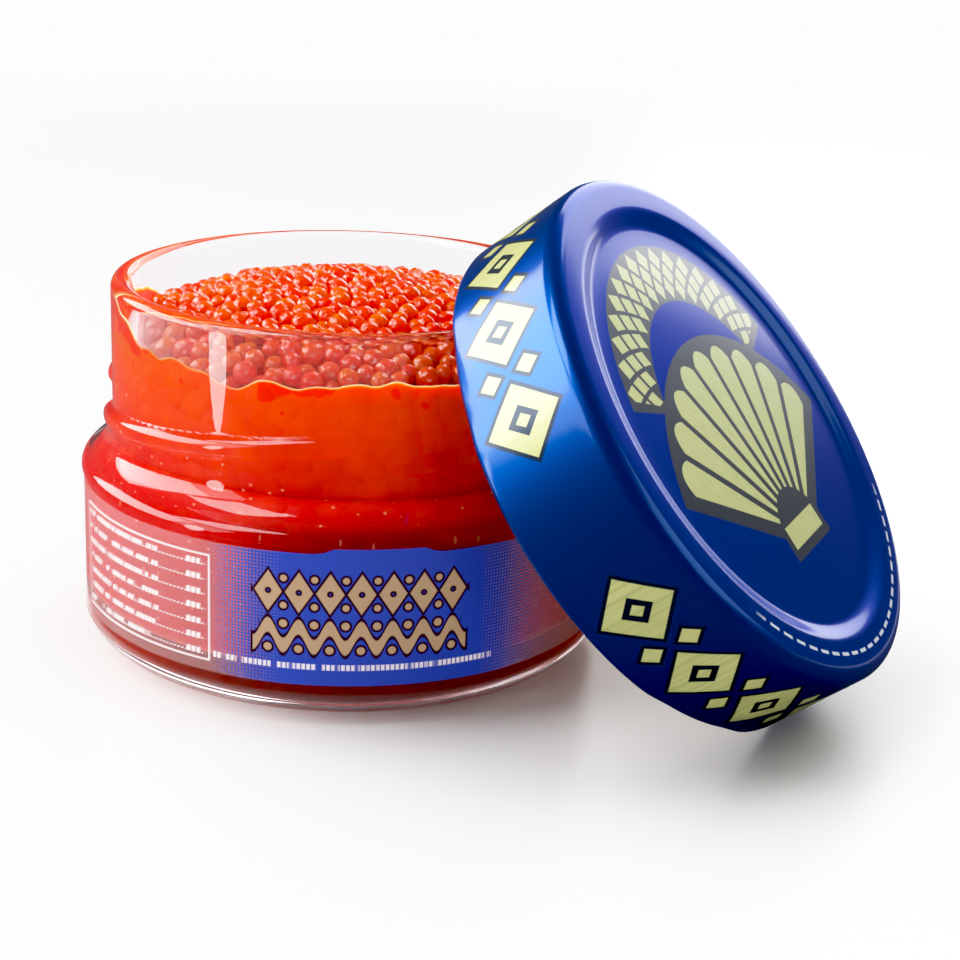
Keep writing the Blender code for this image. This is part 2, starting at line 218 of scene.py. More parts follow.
class Wire:
    """A socket of a node tree: a sum on it adds Math nodes, and node() adds any other node."""

    def __init__(self, tree, socket=None):
        self.tree = tree
        self.socket = socket

    def node(self, kind, settings, sockets, output=0):
        made = self.tree.nodes.new(kind)
        for name, value in settings.items():
            if name != "stops":
                setattr(made, name, value)
        if "stops" in settings:
            ramp = made.color_ramp
            for share, tone in settings["stops"][2:]:
                ramp.elements.new(share)
            for element, (share, tone) in zip(ramp.elements, settings["stops"]):
                element.position = share
                element.color = (*tone, 1.0)
        for name, value in sockets.items():
            if isinstance(value, Wire):
                self.tree.links.new(value.socket, made.inputs[name])
            else:
                made.inputs[name].default_value = value
        return Wire(self.tree, made.outputs[output])

    def maths(self, operation, *values, clamp=False):
        settings = {"operation": operation, "use_clamp": clamp}
        return self.node("ShaderNodeMath", settings, dict(enumerate(values)))

    def __add__(self, other):
        return self.maths("ADD", self, other)

    def __radd__(self, other):
        return self.maths("ADD", other, self)

    def __sub__(self, other):
        return self.maths("SUBTRACT", self, other)

    def __rsub__(self, other):
        return self.maths("SUBTRACT", other, self)

    def __mul__(self, other):
        return self.maths("MULTIPLY", self, other)

    def __rmul__(self, other):
        return self.maths("MULTIPLY", other, self)

    def __truediv__(self, other):
        return self.maths("DIVIDE", self, other)

    def __pow__(self, other):
        return self.maths("POWER", self, other)

    def __mod__(self, other):
        return self.maths("FLOORED_MODULO", self, other)

    def __neg__(self):
        return self.maths("MULTIPLY", self, -1.0)

    def __abs__(self):
        return self.maths("ABSOLUTE", self)

    def least(self, other):
        return self.maths("MINIMUM", self, other)

    def most(self, other):
        return self.maths("MAXIMUM", self, other)

    def within(self, edge, softness):
        """1 where the value is below an edge, 0 above it, with a slope of a given width between."""
        return self.maths("MULTIPLY", edge + softness / 2 - self, 1 / softness, clamp=True)

    def choose(self, below, above):
        """The colour below where this value is 0, the colour above where it is 1."""
        return self.node("ShaderNodeMix", {"data_type": "RGBA"}, {0: self, 6: below, 7: above}, output=2)

    def combine(self, x, y, z=0.0):
        return self.node("ShaderNodeCombineXYZ", {}, {"X": x, "Y": y, "Z": z})

    def split(self):
        """The three numbers of a vector."""
        return [self.node("ShaderNodeSeparateXYZ", {}, {"Vector": self}, output=i) for i in range(3)]


def finish(name, **constants):
    """A Principled material with the values that are the same all over."""
    made = bpy.data.materials.new(name)
    made.use_nodes = True
    shader = made.node_tree.nodes["Principled BSDF"]
    for socket, value in constants.items():
        shader.inputs[socket.replace("_", " ")].default_value = value
    return made, shader, Wire(made.node_tree)


def feed(shader, **wires):
    """Link wires to the shader's sockets."""
    for socket, wire in wires.items():
        wire.tree.links.new(wire.socket, shader.inputs[socket.replace("_", " ")])


def own_mm(wire, centre=(0, 0, 0), turn=(0, 0, 0)):
    """Object coordinates in millimetres from a piece's own centre, along its own axes."""
    coords = wire.node("ShaderNodeTexCoord", {}, {}, output=3)
    places = {"Vector": coords, "Location": centre, "Rotation": turn, "Scale": (MM, MM, MM)}
    return wire.node("ShaderNodeMapping", {"vector_type": "TEXTURE"}, places)


def colour(red, green, blue):
    """A colour as a socket takes it, from linear shares."""
    return (red, green, blue, 1.0)


def let_lamps_through(made, wire, tint):
    """Let the lamps' light straight through the glass: a clear shader takes the rays that look for a lamp
    and those that the matt roe behind the glass scatters."""
    surface = Wire(made.node_tree, made.node_tree.nodes["Principled BSDF"].outputs[0])
    clear = wire.node("ShaderNodeBsdfTransparent", {}, {"Color": tint})
    for ray in ("Is Diffuse Ray", "Is Shadow Ray"):
        straight = wire.node("ShaderNodeLightPath", {}, {}, output=ray)
        surface = wire.node("ShaderNodeMixShader", {}, {0: straight, 1: surface, 2: clear})
    output = made.node_tree.nodes["Material Output"]
    made.node_tree.links.new(surface.socket, output.inputs["Surface"])


glass, glass_shader, wire = finish("clear_glass", Base_Color=colour(0.83, 0.85, 0.88), Roughness=0.0,
                                   IOR=1.5, Transmission_Weight=1.0)
sway = wire.node("ShaderNodeTexNoise", {}, {"Vector": own_mm(wire, jar_axis), "Scale": 0.12, "Detail": 1.0})
sway_bump = wire.node("ShaderNodeBump", {}, {"Strength": 0.5, "Distance": 0.05 * MM, "Height": sway})
feed(glass_shader, Normal=sway_bump)
let_lamps_through(glass, wire, colour(0.93, 0.93, 0.93))

piece("jar_glass", jar_shape, Matrix.Translation(jar_axis), "jar_glass", glass, replaced=["jar"])

# Roe core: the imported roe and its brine, which fill the cavity from the floor to a low crown, with small
# bubbles low at the glass and a smear up the left wall. It reaches just into the glass, so that no air gap
# shows behind it.
CORE_BITE = 0.2 * MM
CORE_STEPS = 256
CORE_RINGS = 26
HEAP_WALL_Z = 40.4 * MM
HEAP_RISE = 4.7 * MM
HEAP_BACK_SLOPE = 0.02
HEAP_WAVE = 0.5 * MM
HEAP_WAVE_LENGTH = 9.0 * MM
CORE_SUNK = 1.0 * MM
EDGE_CREEP = 1.0 * MM
EDGE_WAVE = 1.0 * MM
EDGE_WAVE_LENGTH = 6.0 * MM
SCALLOP = 0.8 * MM
SCALLOP_LENGTH = 3.0 * MM
SMEAR_DEG = -176.0
SMEAR_HALF_DEG = 38.0
SMEAR_RISE = 5.3 * MM
SMEAR_POWER = 1.5
EDGE_WIDTH = 1.6 * MM
EDGE_LINE = 0.3 * MM
GRAIN_MM = 2.8
DARK_Z_MM = 22.0
PALE_RISE_MM = 18.0
BUBBLE_PITCH_MM = 1.5
BUBBLE_R_MM = 0.19
BUBBLE_SOFT_MM = 0.16
BUBBLY_BELOW_MM = 31.0
BUBBLY_SOFT_MM = 6.0
BUBBLY_SHARE = 0.25
BUBBLY_ELSEWHERE = 0.04
PAINTED_FOOT_LIGHT_MM = 6.0
SEAM_HALF, SEAM_SOFT = 0.03, 0.12


def heap_height(x, y):
    """The crown's surface above a point: low, a little higher at the back, in soft waves."""
    reach = min(1.0, math.hypot(x, y) / RIM_INNER_R)
    wave = noise.noise(Vector((x, y, 0.0)) / HEAP_WAVE_LENGTH)
    return HEAP_WALL_Z + HEAP_RISE * (1 - reach ** 2) + HEAP_BACK_SLOPE * y + HEAP_WAVE * wave


def edge_height(x, y):
    """How much higher the brine's edge stands at the glass, up and down round the wall."""
    near_wall = max(0.0, 1 - (RIM_INNER_R - math.hypot(x, y)) / EDGE_WIDTH)
    wave = EDGE_WAVE * noise.noise(Vector((x, y, EDGE_WAVE_LENGTH)) / EDGE_WAVE_LENGTH)
    wave += SCALLOP * noise.noise(Vector((x, y, SCALLOP_LENGTH)) / SCALLOP_LENGTH)
    away = abs((math.degrees(math.atan2(y, x)) - SMEAR_DEG + 180) % 360 - 180)
    smear = SMEAR_RISE * max(0.0, 1 - away / SMEAR_HALF_DEG) ** SMEAR_POWER
    return near_wall ** 2 * (CORE_SUNK + EDGE_CREEP + wave + smear)


neck_r = RIM_INNER_R + CORE_BITE
crown = [(neck_r * i / CORE_RINGS, HEAP_WALL_Z) for i in range(CORE_RINGS + 1)]
core_side = cavity_side(CORE_BITE)
core_side.reverse()
core_floor = [(0.0, CAVITY_FLOOR_Z + PUSH_UP / 2 - CORE_BITE)]
core_shape = turned(crown + [(neck_r, HEAP_WALL_Z - EDGE_LINE)] + core_side + core_floor, CORE_STEPS)
line_layer = core_shape.verts.layers.float.new("edge_line")
for vert in core_shape.verts:
    if vert.co.z > HEAP_WALL_Z - EDGE_LINE - WELD:
        x, y = vert.co.x, vert.co.y
        on_edge = vert.co.z > HEAP_WALL_Z - WELD and math.hypot(x, y) > neck_r - WELD
        vert[line_layer] = 1.0 if on_edge else 0.0
        vert.co.z += heap_height(x, y) - CORE_SUNK + edge_height(x, y) - HEAP_WALL_Z

core, core_shader, wire = finish("packed_roe", Roughness=0.35, IOR=1.36, Subsurface_Weight=1.0,
                                 Subsurface_Radius=(1.0, 0.15, 0.05), Subsurface_Scale=5.0 * MM,
                                 Specular_IOR_Level=0.1)
place = own_mm(wire, jar_axis)
wobble = wire.node("ShaderNodeTexNoise", {}, {"Vector": place, "Scale": 0.5, "Detail": 1.0}, output=1)
bent = wire.node("ShaderNodeVectorMath", {"operation": "ADD"}, {0: place, 1: wobble})
cells = {"Vector": bent, "Scale": 1 / GRAIN_MM, "Randomness": 0.8}
grain_middle = wire.node("ShaderNodeTexVoronoi", {}, cells)
grain_tint = wire.node("ShaderNodeTexVoronoi", {}, cells, output=1).split()[0]
grain_edge = wire.node("ShaderNodeTexVoronoi", {"feature": "DISTANCE_TO_EDGE"}, cells)
seam = grain_edge.within(SEAM_HALF, SEAM_SOFT)
deep = wire.node("ShaderNodeTexNoise", {}, {"Vector": place, "Scale": 0.1, "Detail": 2.0})
blotch = wire.node("ShaderNodeTexNoise", {}, {"Vector": place, "Scale": 0.3, "Detail": 1.0})
height = place.split()[2]
# The roe's colour runs darker and redder towards the bottom and paler towards the crown, with random
# blotches over it.
share = (height - DARK_Z_MM) / PALE_RISE_MM + (grain_tint - 0.5) * 0.15
share = share + (deep - 0.5) * 0.5 + (blotch - 0.5) * 0.5
body_colour = wire.node("ShaderNodeValToRGB", {"stops": [
    (0.0, (0.62, 0.01, 0.009)), (1.0, (1.0, 0.075, 0.003)), (0.5, (0.95, 0.022, 0.004))]},
    {0: share + 0.02 - grain_middle * 0.3})
bubble_cells = {"Vector": place, "Scale": 1 / BUBBLE_PITCH_MM}
from_bubble = wire.node("ShaderNodeTexVoronoi", {}, bubble_cells) * BUBBLE_PITCH_MM
bubble_chance = wire.node("ShaderNodeTexVoronoi", {}, bubble_cells, output=1).split()[1]
bubbly = height.within(BUBBLY_BELOW_MM, BUBBLY_SOFT_MM) * BUBBLY_SHARE + BUBBLY_ELSEWHERE
bubble = from_bubble.within(BUBBLE_R_MM, BUBBLE_SOFT_MM) * abs(bubble_chance - 0.6).within(bubbly, 0.02)
# Painted reflection: a thin dull pink line along the brine's edge at the glass, standing in for the light
# that its meniscus catches.
edge_line = wire.node("ShaderNodeAttribute", {"attribute_name": "edge_line"}, {}, output=2)
rounding = 1.0 - grain_middle
domes = wire.node("ShaderNodeBump", {}, {"Strength": 0.7, "Distance": 0.5 * MM, "Height": rounding})
edged = (seam * 0.05).choose(body_colour, colour(1.0, 0.2, 0.05))
bubbles_and_foot_light = (bubble * 0.7).choose(edged, colour(1.0, 0.4, 0.25))
# Painted light: the lowest roe is made paler and pinker, standing in for the white table's light that comes
# up through the glass foot.
bubbles_and_foot_light = (height.within(PAINTED_FOOT_LIGHT_MM, PAINTED_FOOT_LIGHT_MM / 2) * 0.7).choose(bubbles_and_foot_light, colour(1.0, 0.25, 0.16))
feed(core_shader, Normal=domes, Base_Color=(edge_line * 0.9).choose(bubbles_and_foot_light, colour(0.6, 0.1, 0.09)))
piece("roe_core", core_shape, Matrix.Translation(jar_axis), "roe_grain", core, replaced=["roe"])

# Roe grains: whole salmon eggs, 2.3 to 3.2 mm across, wet and translucent, heaped on the crown as they
# fell, each one resting on its neighbours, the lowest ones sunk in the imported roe.
GRAIN_COUNT = 1000
GRAIN_R_MIN = 1.15 * MM
GRAIN_R_MAX = 1.6 * MM
GRAIN_SEED = 7
LAYER_LOW = -2.4 * MM
LAYER_HIGH = 0.9 * MM
SETTLE_STEPS = 70
SETTLE_SHARE = 0.25
WALL_GAP = 0.8 * MM
TOUCH = 0.95
PLUMP_MIN = 0.9


def settle_grains():
    """Middles and radii of grains dropped evenly over the crown and pushed apart until they just touch."""
    chance = np.random.default_rng(GRAIN_SEED)
    radii = chance.uniform(GRAIN_R_MIN, GRAIN_R_MAX, GRAIN_COUNT)
    turn = np.arange(GRAIN_COUNT) * math.pi * (3 - math.sqrt(5))
    from_axis = (RIM_INNER_R - GRAIN_R_MAX) * np.sqrt((np.arange(GRAIN_COUNT) + 0.5) / GRAIN_COUNT)
    places = np.stack([from_axis * np.cos(turn), from_axis * np.sin(turn), np.zeros(GRAIN_COUNT)], axis=1)
    level = np.array([heap_height(x, y) for x, y, _ in places])
    places[:, 2] = level + chance.uniform(LAYER_LOW, LAYER_HIGH, GRAIN_COUNT)
    wanted = TOUCH * (radii[:, None] + radii[None, :])
    for _ in range(SETTLE_STEPS):
        apart = places[:, None, :] - places[None, :, :]
        distance = np.linalg.norm(apart, axis=2) + WELD
        overlap = np.clip(wanted - distance, 0.0, None)
        np.fill_diagonal(overlap, 0.0)
        places += SETTLE_SHARE * (apart * (overlap / distance)[:, :, None]).sum(axis=1)
        reach = np.hypot(places[:, 0], places[:, 1])
        pull = np.minimum(1.0, (RIM_INNER_R - WALL_GAP - radii) / reach)
        places[:, :2] *= pull[:, None]
        level = np.array([heap_height(x, y) for x, y, _ in places])
        places[:, 2] = np.clip(places[:, 2], level + LAYER_LOW, level + LAYER_HIGH)
    return places, radii


one_grain = bmesh.new()
bmesh.ops.create_icosphere(one_grain, subdivisions=2, radius=1.0)
one_grain_mesh = bpy.data.meshes.new("one_grain")
one_grain.to_mesh(one_grain_mesh)
one_grain.free()
grain_shape = bmesh.new()
tint_layer = grain_shape.verts.layers.float.new("grain_tint")
chance = random.Random(GRAIN_SEED)
for place, radius in zip(*settle_grains()):
    spin = Euler([chance.uniform(0, math.pi) for _ in range(3)]).to_matrix().to_4x4()
    plump = [radius] + [radius * chance.uniform(PLUMP_MIN, 1.0) for _ in range(2)]
    put = Matrix.Translation(place) @ spin @ Matrix.Diagonal((*plump, 1.0))
    tint = chance.random()
    first = len(grain_shape.verts)
    grain_shape.from_mesh(one_grain_mesh)
    grain_shape.verts.ensure_lookup_table()
    for vert in grain_shape.verts[first:]:
        vert.co = put @ vert.co
        vert[tint_layer] = tint
bpy.data.meshes.remove(one_grain_mesh)

egg, egg_shader, wire = finish("wet_egg", Roughness=0.07, IOR=1.45, Specular_IOR_Level=0.85,
                               Subsurface_Weight=1.0, Subsurface_Radius=(1.0, 0.2, 0.05),
                               Subsurface_Scale=3.0 * MM, Transmission_Weight=0.35)
tint = wire.node("ShaderNodeAttribute", {"attribute_name": "grain_tint"}, {}, output=2)
place = own_mm(wire, jar_axis)
cloud = wire.node("ShaderNodeTexNoise", {}, {"Vector": place, "Scale": 0.8, "Detail": 1.0})
egg_colour = wire.node("ShaderNodeValToRGB", {"stops": [
    (0.0, (0.98, 0.035, 0.003)), (1.0, (1.0, 0.16, 0.004)), (0.5, (1.0, 0.08, 0.003))]},
    {0: tint * 0.8 + cloud * 0.4 - 0.1})
dimple = wire.node("ShaderNodeTexNoise", {}, {"Vector": place, "Scale": 1.1, "Detail": 1.0})
dimple_bump = wire.node("ShaderNodeBump", {}, {"Strength": 0.8, "Distance": 0.35 * MM, "Height": dimple})
feed(egg_shader, Base_Color=egg_colour, Normal=dimple_bump)
piece("roe_grains", grain_shape, Matrix.Translation(jar_axis), "roe_grain", egg, replaced=["roe"])

# Label: a clear plastic film, stuck round the body in its hollow panel, with a tab that stands up from its
# upper edge in front. It is printed with a blue field that fades into a fine screen, with tan ornament, and
# with white rules and dashes.
LABEL_STEPS = 180
LABEL_R = 34.95 * MM
LABEL_THICKNESS = 0.2 * MM
LABEL_BOTTOM_Z = 5.4 * MM
LABEL_TOP_Z = 22.4 * MM
TAB_RISE = 0.7 * MM
TAB_CENTRE_DEG = -83.0
TAB_HALF_DEG = 10.5
TAB_SLOPE_DEG = 2.5


def tab_height(angle_deg):
    """How far the label's upper edge stands above its level at an angle round the jar."""
    away = abs((angle_deg - TAB_CENTRE_DEG + 180) % 360 - 180)
    share = (TAB_HALF_DEG + TAB_SLOPE_DEG / 2 - away) / TAB_SLOPE_DEG
    return TAB_RISE * min(1.0, max(0.0, share))


label_shape = turned([(LABEL_R, LABEL_BOTTOM_Z), (LABEL_R, LABEL_TOP_Z)], LABEL_STEPS)
wall_faces = list(label_shape.faces)
bmesh.ops.solidify(label_shape, geom=wall_faces, thickness=-LABEL_THICKNESS)
bmesh.ops.recalc_face_normals(label_shape, faces=label_shape.faces)
for vert in label_shape.verts:
    if vert.co.z > (LABEL_BOTTOM_Z + LABEL_TOP_Z) / 2:
        vert.co.z += tab_height(math.degrees(math.atan2(vert.co.y, vert.co.x)))

film, film_shader, wire = finish("printed_film", Roughness=0.25, IOR=1.45)
FRONT_DEG = -86.5
PRINT_EDGE = 0.12
LEFT_CLEAR, LEFT_FADE = -19.5, 10.0
RIGHT_CLEAR, RIGHT_FADE, RIGHT_FADE_POWER = 37.0, 22.0, 3
BACK_CLEAR, BACK_FADE = 84.0, 8.0
SCREEN_PITCH = 0.43
SCREEN_SOFT = 0.5
BLUE_STRENGTH = 0.97
x, y, z = own_mm(wire, jar_axis, (0, 0, math.radians(FRONT_DEG))).split()
along = wire.maths("ARCTAN2", y, x) * (LABEL_R / MM)
left_fade = ((along - LEFT_CLEAR) / LEFT_FADE).most(0.0)
right_fade = ((RIGHT_CLEAR - along) / RIGHT_FADE).most(0.0) ** RIGHT_FADE_POWER
back_fade = ((abs(along) - BACK_CLEAR) / BACK_FADE).most(0.0)
field = left_fade.least(right_fade).most(back_fade).least(1.0)
screen_a = wire.maths("SINE", (along + z) * (math.tau / SCREEN_PITCH / 2))
screen_b = wire.maths("SINE", (along - z) * (math.tau / SCREEN_PITCH / 2))
blue_cover = (screen_a * screen_b).within(2.2 * field - 1.0, SCREEN_SOFT) * BLUE_STRENGTH


def bar(u, v, centre_u, centre_v, half_u, half_v):
    """How far a point lies outside an upright bar, negative inside it."""
    return (abs(u - centre_u) - half_u).most(abs(v - centre_v) - half_v)


def lozenge(u, v, half_u, half_v):
    """How far a point lies outside a lozenge about the middle, negative inside it."""
    height_of_side = half_u * half_v / math.hypot(half_u, half_v)
    return (abs(u) * (1 / half_u) + abs(v) * (1 / half_v) - 1.0) * height_of_side


def disc(u, v, radius):
    """How far a point lies outside a round dot about the middle, negative inside it."""
    return (u * u + v * v) ** 0.5 - radius


# The tan ornament, in front and again behind: a row of lozenges over a wave, with dots.
UNIT = 3.77
UNITS = 7
ROW_HALF = UNITS / 2 * UNIT
ORNAMENT_Z = 17.4
LOZENGE_HALF = (1.7, 2.6)
EYE_R = 0.42
BETWEEN_RISE = 1.75
END_CLEAR = 1.0
WAVE_Z = 11.7
WAVE_SWING = 1.25
WAVE_HALF = 0.95
WAVE_SLOPE = 0.6
HOLLOW_DOT_R = 0.5
HOLLOW_DOT_RISE = 1.6
OUTLINE = 0.3


def ornament(u):
    """Seven lozenges with a round eye over a wave with dots in its hollows, centred where u is 0."""
    in_unit = (u + ROW_HALF) % UNIT - UNIT / 2
    past_unit = UNIT / 2 - abs(in_unit)
    past_end = abs(u) - ROW_HALF + END_CLEAR
    above = z - ORNAMENT_Z
    lozenges = lozenge(in_unit, above, *LOZENGE_HALF).most(-disc(in_unit, above, EYE_R))
    lozenges = lozenges.least(disc(past_unit, abs(above) - BETWEEN_RISE, EYE_R).most(past_end))
    above = z - WAVE_Z
    swing = wire.maths("COSINE", u * (math.tau / UNIT)) * WAVE_SWING
    wave = (abs(above - swing) - WAVE_HALF) * WAVE_SLOPE
    low_dots = disc(in_unit, above + HOLLOW_DOT_RISE, HOLLOW_DOT_R)
    high_dots = disc(past_unit, above - HOLLOW_DOT_RISE, HOLLOW_DOT_R).most(past_end)
    return lozenges.least(wave).least(low_dots.least(high_dots)).most(abs(u) - ROW_HALF)


opposite = wire.maths("ARCTAN2", -y, -x) * (LABEL_R / MM)
ornaments = ornament(along).least(ornament(opposite))
tan_cover = ornaments.within(0.0, PRINT_EDGE)
line_cover = ornaments.within(OUTLINE, PRINT_EDGE)

# The white print: a ruled box of names and figures at the left, a line of words at the foot, and a mark at
# the right, all in plain dashes.
MARK_PITCH = 0.6
MARK_HALF = 0.21
GROUP_LEVEL = 0.42
GROUPS_PER_MM = 0.9
ROW_JUMP = 7.0
BOX_LEFT, BOX_RIGHT = -44.9, -19.1
BOX_LOW, BOX_HIGH = 6.9, 20.6
BOX_LINE_HALF = 0.1
BOX_INSET = 0.5
ROW_PITCH = 1.95
ROW_MIDDLE = ROW_PITCH / 2
NAME_HALF = 0.32
NAME_TO_EDGE = 8.0
FIGURE_HALF = 0.36
FIGURE_PITCH = 0.75
FIGURE_MARK_HALF = 0.26
FIGURES_TO_EDGE, FIGURES_HALF = 2.4, 1.1
LEADER_Z, LEADER_HALF, LEADER_DASH_HALF = 0.72, 0.07, 0.15
LEADER_TO_EDGE = 9.0
FOOT_LINE_Z, FOOT_LINE_HALF = 7.85, 0.36
FOOT_LINE_MIDDLE, FOOT_LINE_REACH, FOOT_LINE_SEED = -0.8, 17.8, 3.0
WEIGHT_RULE = (36.0, 17.2, 2.6, 0.3)
WEIGHT_BLOCK = (36.4, 14.4, 2.2, 0.75)
WHITE_STRENGTH = 0.85


def words(along, row, seed):
    """Rows of small even marks in groups of uneven length, as a number that is negative on a mark."""
    spot = wire.combine(along * GROUPS_PER_MM, row * ROW_JUMP, seed)
    group = GROUP_LEVEL - wire.node("ShaderNodeTexNoise", {}, {"Vector": spot, "Scale": 1.0, "Detail": 0.0})
    return group.most(abs(along % MARK_PITCH - MARK_PITCH / 2) - MARK_HALF)


box_middle = ((BOX_LEFT + BOX_RIGHT) / 2, (BOX_LOW + BOX_HIGH) / 2)
box_half = ((BOX_RIGHT - BOX_LEFT) / 2, (BOX_HIGH - BOX_LOW) / 2)
outside_box = bar(along, z, *box_middle, *box_half)
box_line = abs(outside_box) - BOX_LINE_HALF
row_z = (z - BOX_LOW) % ROW_PITCH
from_row = abs(row_z - ROW_MIDDLE)
names = (from_row - NAME_HALF).most(words(along, z - row_z, 0.0)).most(along - BOX_RIGHT + NAME_TO_EDGE)
figures = (from_row - FIGURE_HALF).most(bar(along, z, BOX_RIGHT - FIGURES_TO_EDGE, z, FIGURES_HALF, 1.0))
figures = figures.most(abs(along % FIGURE_PITCH - FIGURE_PITCH / 2) - FIGURE_MARK_HALF)
leader_dash = abs(along % MARK_PITCH - MARK_PITCH / 2) - LEADER_DASH_HALF
leader = (abs(row_z - LEADER_Z) - LEADER_HALF).most(leader_dash).most(BOX_LEFT + LEADER_TO_EDGE - along)
table = names.least(figures).least(leader).most(outside_box + BOX_INSET)
foot_line = (abs(z - FOOT_LINE_Z) - FOOT_LINE_HALF).most(words(along, 0.0, FOOT_LINE_SEED))
foot_line = foot_line.most(abs(along - FOOT_LINE_MIDDLE) - FOOT_LINE_REACH)
weight_mark = bar(along, z, *WEIGHT_RULE).least(bar(along, z, *WEIGHT_BLOCK))
white_print = box_line.least(table).least(foot_line).least(weight_mark)
white_cover = white_print.within(0.0, PRINT_EDGE) * WHITE_STRENGTH

CLEAR_TINT = colour(0.8, 0.52, 0.52)
CLEAR_COVER = 0.12
inked = blue_cover.choose(CLEAR_TINT, colour(0.008, 0.05, 0.4))
inked = line_cover.choose(inked, colour(0.03, 0.008, 0.02))
inked = tan_cover.choose(inked, colour(0.42, 0.28, 0.17))
inked = white_cover.choose(inked, colour(0.95, 0.85, 0.85))
cut_edge = z.within(LABEL_BOTTOM_Z / MM + 0.03, 0.02)
cover = blue_cover.most(line_cover).most(white_cover).most(CLEAR_COVER) * (1.0 - cut_edge)
feed(film_shader, Base_Color=inked, Alpha=cover)
piece("label_film", label_shape, Matrix.Translation(jar_axis), "label_film", film, replaced=["label"])

# Cap: a deep lug cap pressed from tinplate, lacquered blue and printed in gold, black and white. It has a
# rounded corner, a land, a step down to a flat panel, and an edge rolled inwards with four lugs pressed in
# it. It leans on the rim and stands on the table.
LID_STEPS = 240
LID_R = 34.97 * MM
LID_HEIGHT = 16.58 * MM
LID_SHEET = 0.45 * MM
LID_CORNER_RADIUS = 2.0 * MM
LID_LAND_R = 30.4 * MM
LID_PANEL_R = 27.2 * MM
LID_PANEL_DROP = 0.8 * MM
LID_PANEL_DOME = 0.25 * MM
CURL_R = 0.9 * MM
CURL_TURN_DEG = 220
LUG_COUNT = 4
LUG_FIRST_DEG = 50.6
LUG_HALF_DEG = 12.5
LUG_EDGE_DEG = 9.0
LUG_DENT = 0.5 * MM
LUG_REACH = 0.75 * MM
LUG_HEIGHT = 4.0 * MM
LID_ROWS = 12
SKIRT_ROWS = 12
INWARD_LIMIT = -0.6
LID_MOUTH_X = 36.93 * MM
LID_MOUTH_Y = -18.3 * MM
LID_HEADING = math.radians(-27.9)
LID_TILT = math.radians(51.48)


def eased(share):
    """A share from 0 to 1, with a soft start and a soft end."""
    return share * share * (3 - 2 * share)


def lid_outline():
    """Panel, step, land, corner, skirt and rolled edge, then the sheet's inner face back to the axis."""
    corner = LID_CORNER_RADIUS
    inner_r = LID_R - LID_SHEET
    panel_z = LID_HEIGHT - LID_PANEL_DROP
    points = []
    for i in range(LID_ROWS):
        share = i / LID_ROWS
        points.append((LID_PANEL_R * share, panel_z + LID_PANEL_DOME * (1 - share ** 2)))
    for i in range(LID_ROWS + 1):
        share = i / LID_ROWS
        radius = LID_PANEL_R + (LID_LAND_R - LID_PANEL_R) * share
        points.append((radius, panel_z + LID_PANEL_DROP * eased(share)))
    points += arc(LID_R - corner, LID_HEIGHT - corner, corner, corner, 90, 0)
    for i in range(1, SKIRT_ROWS):
        points.append((LID_R, LID_HEIGHT - corner + (CURL_R - LID_HEIGHT + corner) * i / SKIRT_ROWS))
    points += arc(LID_R - CURL_R, CURL_R, CURL_R, CURL_R, 0, -CURL_TURN_DEG)
    points.append((inner_r, 3 * CURL_R))
    points.append((inner_r, LUG_HEIGHT))
    points += arc(LID_R - corner, LID_HEIGHT - corner, corner - LID_SHEET, corner - LID_SHEET, 0, 90)
    inner_corners = [(LID_LAND_R, LID_HEIGHT - LID_SHEET), (LID_PANEL_R, panel_z - LID_SHEET)]
    points += rounded((LID_R - corner, LID_HEIGHT - LID_SHEET), *inner_corners, (0.0, panel_z - LID_SHEET))
    return points


def lug_share(angle_deg):
    """1 within a lug, 0 away from it, with short slopes between."""
    pitch = 360 / LUG_COUNT
    away = abs((angle_deg - LUG_FIRST_DEG + pitch / 2) % pitch - pitch / 2)
    return eased(min(1.0, max(0.0, (LUG_HALF_DEG - away) / LUG_EDGE_DEG + 0.5)))


lid_shape = turned(lid_outline(), LID_STEPS)
for vert in lid_shape.verts:
    radius = math.hypot(vert.co.x, vert.co.y)
    if radius > LID_R / 2 and vert.co.z < LUG_HEIGHT:
        inside = radius < LID_R - CURL_R and vert.co.z < 2 * CURL_R
        press = LUG_DENT + LUG_REACH if inside else LUG_DENT
        rest = 1 - vert.co.z / LUG_HEIGHT
        scale = 1 - lug_share(math.degrees(math.atan2(vert.co.y, vert.co.x))) * press * rest / radius
        vert.co.x *= scale
        vert.co.y *= scale
mouth_z = CURL_R + (LID_R - CURL_R) * math.sin(LID_TILT) - CURL_R * math.cos(LID_TILT)
mouth = jar_axis + Vector((LID_MOUTH_X, LID_MOUTH_Y, mouth_z))
lean = Matrix.Translation(mouth) @ Euler((0.0, LID_TILT, LID_HEADING)).to_matrix().to_4x4()

for face in lid_shape.faces:
    middle = face.calc_center_median()
    towards_axis = face.normal.xy.dot(middle.xy.normalized())
    inwards = min(towards_axis, face.normal.z) < INWARD_LIMIT
    face.material_index = 1 if inwards and middle.z > 2 * CURL_R else 0

paint, paint_shader, wire = finish("blue_lacquer", Roughness=0.36, IOR=1.5, Coat_Weight=0.65,
                                   Coat_Roughness=0.12, Specular_Tint=colour(0.0, 0.3, 0.8))
down, side, up = own_mm(wire, mouth, (0.0, LID_TILT, LID_HEADING)).split()
cap_r = wire.maths("SQRT", down * down + side * side)
cap_angle = wire.maths("ARCTAN2", side, down)
BLUE = colour(0.0, 0.058, 0.27)
GOLD = colour(0.6, 0.6, 0.25)
DEEP_GOLD = colour(0.3, 0.33, 0.09)
BLACK = colour(0.012, 0.013, 0.015)
INK_EDGE = 0.1
on_top = 1.0 - up.within(LID_HEIGHT / MM - LID_CORNER_RADIUS / MM, 0.05)

